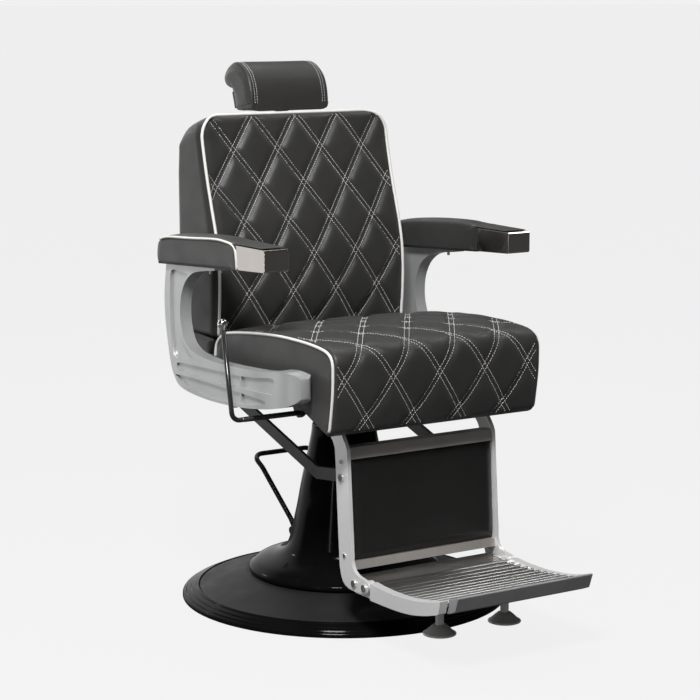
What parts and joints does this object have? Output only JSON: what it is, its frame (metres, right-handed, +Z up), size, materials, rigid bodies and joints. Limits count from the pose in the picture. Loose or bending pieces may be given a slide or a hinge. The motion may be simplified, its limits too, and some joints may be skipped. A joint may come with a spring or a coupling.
{
  "type": "hydraulic barber chair",
  "caption": "Hydraulic barber chair with quilted reclining back, coupled leg rest, ribbed footplate, headrest, cast arms and round base; lifts, swivels and reclines.",
  "frame": {"origin": "centre of the base's underside, on the floor at the lift column's axis", "axes": "+Z up along the lift column; -Y is the way the sitter faces, towards the footplate; +X is the sitter's left"},
  "size_m": [0.7105, 0.992, 1.131],
  "materials": {
    "gloss_black": "gloss black enamel",
    "matte_black": "satin black powder coat",
    "black_steel": "black painted steel",
    "machined_steel": "machined steel",
    "pedal_black": "black enamel",
    "chrome": "polished chrome plate",
    "rubber_black": "black rubber",
    "bronze": "oiled bronze",
    "plywood": "birch plywood",
    "plywood_black": "black stained plywood",
    "leather_black": "black soft-sheen vinyl leather",
    "silver_paint": "silver grey satin paint on cast aluminium",
    "cast_aluminium": "satin polished aluminium casting",
    "brushed_steel": "brushed stainless steel",
    "grey_bar": "dark grey powder coat",
    "tread_aluminium": "dark satin aluminium",
    "nosing_grey": "dark grey satin aluminium"
  },
  "bodies": {
    "base": {"base_plate": "black_steel", "base_rim": "gloss_black", "base_cover": "matte_black", "column_shroud": "gloss_black", "lift_cylinder": "black_steel", "cylinder_gland": "machined_steel", "base_bolts": "machined_steel", "pump_housing": "black_steel", "pedal_shaft": "machined_steel", "pedal_spring": "machined_steel"},
    "pedal": {"pedal_hub": "pedal_black", "pedal_hoop": "pedal_black"},
    "pump_rod": {"pump_plunger": "machined_steel"},
    "ram": {"lift_ram": "chrome", "piston_seal": "rubber_black", "thrust_washer": "bronze"},
    "seat": {"swivel_socket": "black_steel", "cross_frame": "black_steel", "side_rail_left": "black_steel", "side_rail_right": "black_steel", "seat_board": "plywood", "seat_cushion": "leather_black", "arm_frame_left": "silver_paint", "arm_frame_right": "silver_paint", "arm_boards": "plywood_black", "arm_pad_left": "leather_black", "arm_pad_right": "leather_black", "arm_caps": "chrome", "arm_brackets": "black_steel", "arm_bolts": "machined_steel", "pivot_pins": "machined_steel", "gas_cylinder": "black_steel"},
    "lever": {"lever_rod": "chrome", "lever_knob": "chrome"},
    "back": {"back_frame": "black_steel", "back_board": "plywood", "back_cushion": "leather_black", "back_shell": "leather_black", "headrest_socket": "machined_steel", "bar_pins": "machined_steel"},
    "lock_rod": {"gas_rod": "machined_steel"},
    "head_post": {"headrest_post": "chrome"},
    "headrest": {"headrest_bracket": "machined_steel", "headrest_plate": "black_steel", "headrest_cushion": "leather_black"},
    "leg_rest": {"leg_link_left": "cast_aluminium", "leg_link_right": "cast_aluminium", "leg_rails": "brushed_steel", "leg_pad": "leather_black", "leg_bolts": "chrome"},
    "recline_bars": {"recline_bar_left": "grey_bar", "recline_bar_right": "grey_bar"},
    "footplate": {"foot_tread": "tread_aluminium", "foot_brackets": "cast_aluminium", "foot_nosing": "nosing_grey", "foot_crossbar": "black_steel"},
    "foot_left": {"foot_stem_left": "chrome", "foot_pad_left": "rubber_black"},
    "foot_right": {"foot_stem_right": "chrome", "foot_pad_right": "rubber_black"}
  },
  "joints": [
    {"name": "lift", "type": "slide", "parent": "base", "child": "ram", "axis": [0, 0, 1], "range_m": [0, 0.15]},
    {"name": "swivel", "type": "hinge", "parent": "ram", "child": "seat", "pos_m": [0, 0, 0.41], "axis": [0, 0, 1], "continuous": true},
    {"name": "back_recline", "type": "hinge", "parent": "seat", "child": "back", "pos_m": [0, 0.195, 0.515], "axis": [-1, 0, 0], "range_deg": [0, 42]},
    {"name": "leg_rest_swing", "type": "hinge", "parent": "seat", "child": "leg_rest", "pos_m": [0, -0.238, 0.428], "axis": [-1, 0, 0], "range_deg": [0, 42]},
    {"name": "bars_swing", "type": "hinge", "parent": "back", "child": "recline_bars", "pos_m": [0, 0.1595, 0.414], "axis": [-1, 0, 0], "range_deg": [-42, 0]},
    {"name": "lock_rod_slide", "type": "slide", "parent": "seat", "child": "lock_rod", "axis": [0, -1, 0], "range_m": [0, 0.07]},
    {"name": "recline_lever", "type": "hinge", "parent": "seat", "child": "lever", "pos_m": [-0.2, -0.128, 0.436], "axis": [1, 0, 0], "range_deg": [0, 12], "stiffness_Nm_per_rad": 4, "springref_deg": -8.59},
    {"name": "headrest_slide", "type": "slide", "parent": "back", "child": "head_post", "axis": [0, 0, 1], "range_m": [0, 0.09]},
    {"name": "headrest_tilt", "type": "hinge", "parent": "head_post", "child": "headrest", "pos_m": [0, 0.254, 1.058], "axis": [-1, 0, 0], "range_deg": [0, 30]},
    {"name": "footplate_fold", "type": "hinge", "parent": "leg_rest", "child": "footplate", "pos_m": [0, -0.357, 0.118], "axis": [-1, 0, 0], "range_deg": [0, 70]},
    {"name": "foot_left_screw", "type": "slide", "parent": "footplate", "child": "foot_left", "axis": [0, 0, -1], "range_m": [0, 0.012]},
    {"name": "foot_right_screw", "type": "slide", "parent": "footplate", "child": "foot_right", "axis": [0, 0, -1], "range_m": [0, 0.012]},
    {"name": "pump_pedal", "type": "hinge", "parent": "base", "child": "pedal", "pos_m": [0, 0.1, 0.092], "axis": [-1, 0, 0], "range_deg": [0, 25], "stiffness_Nm_per_rad": 6, "springref_deg": -22.92},
    {"name": "pump_stroke", "type": "slide", "parent": "base", "child": "pump_rod", "axis": [0, 0, 1], "range_m": [0, 0.016]}
  ],
  "couplings": [
    {"joint": "leg_rest_swing", "follows": "back_recline", "ratio": 1},
    {"joint": "bars_swing", "follows": "back_recline", "ratio": -1},
    {"joint": "lock_rod_slide", "follows": "back_recline", "m_per_rad": 0.09289},
    {"joint": "pump_stroke", "follows": "pump_pedal", "m_per_rad": 0.035}
  ]
}
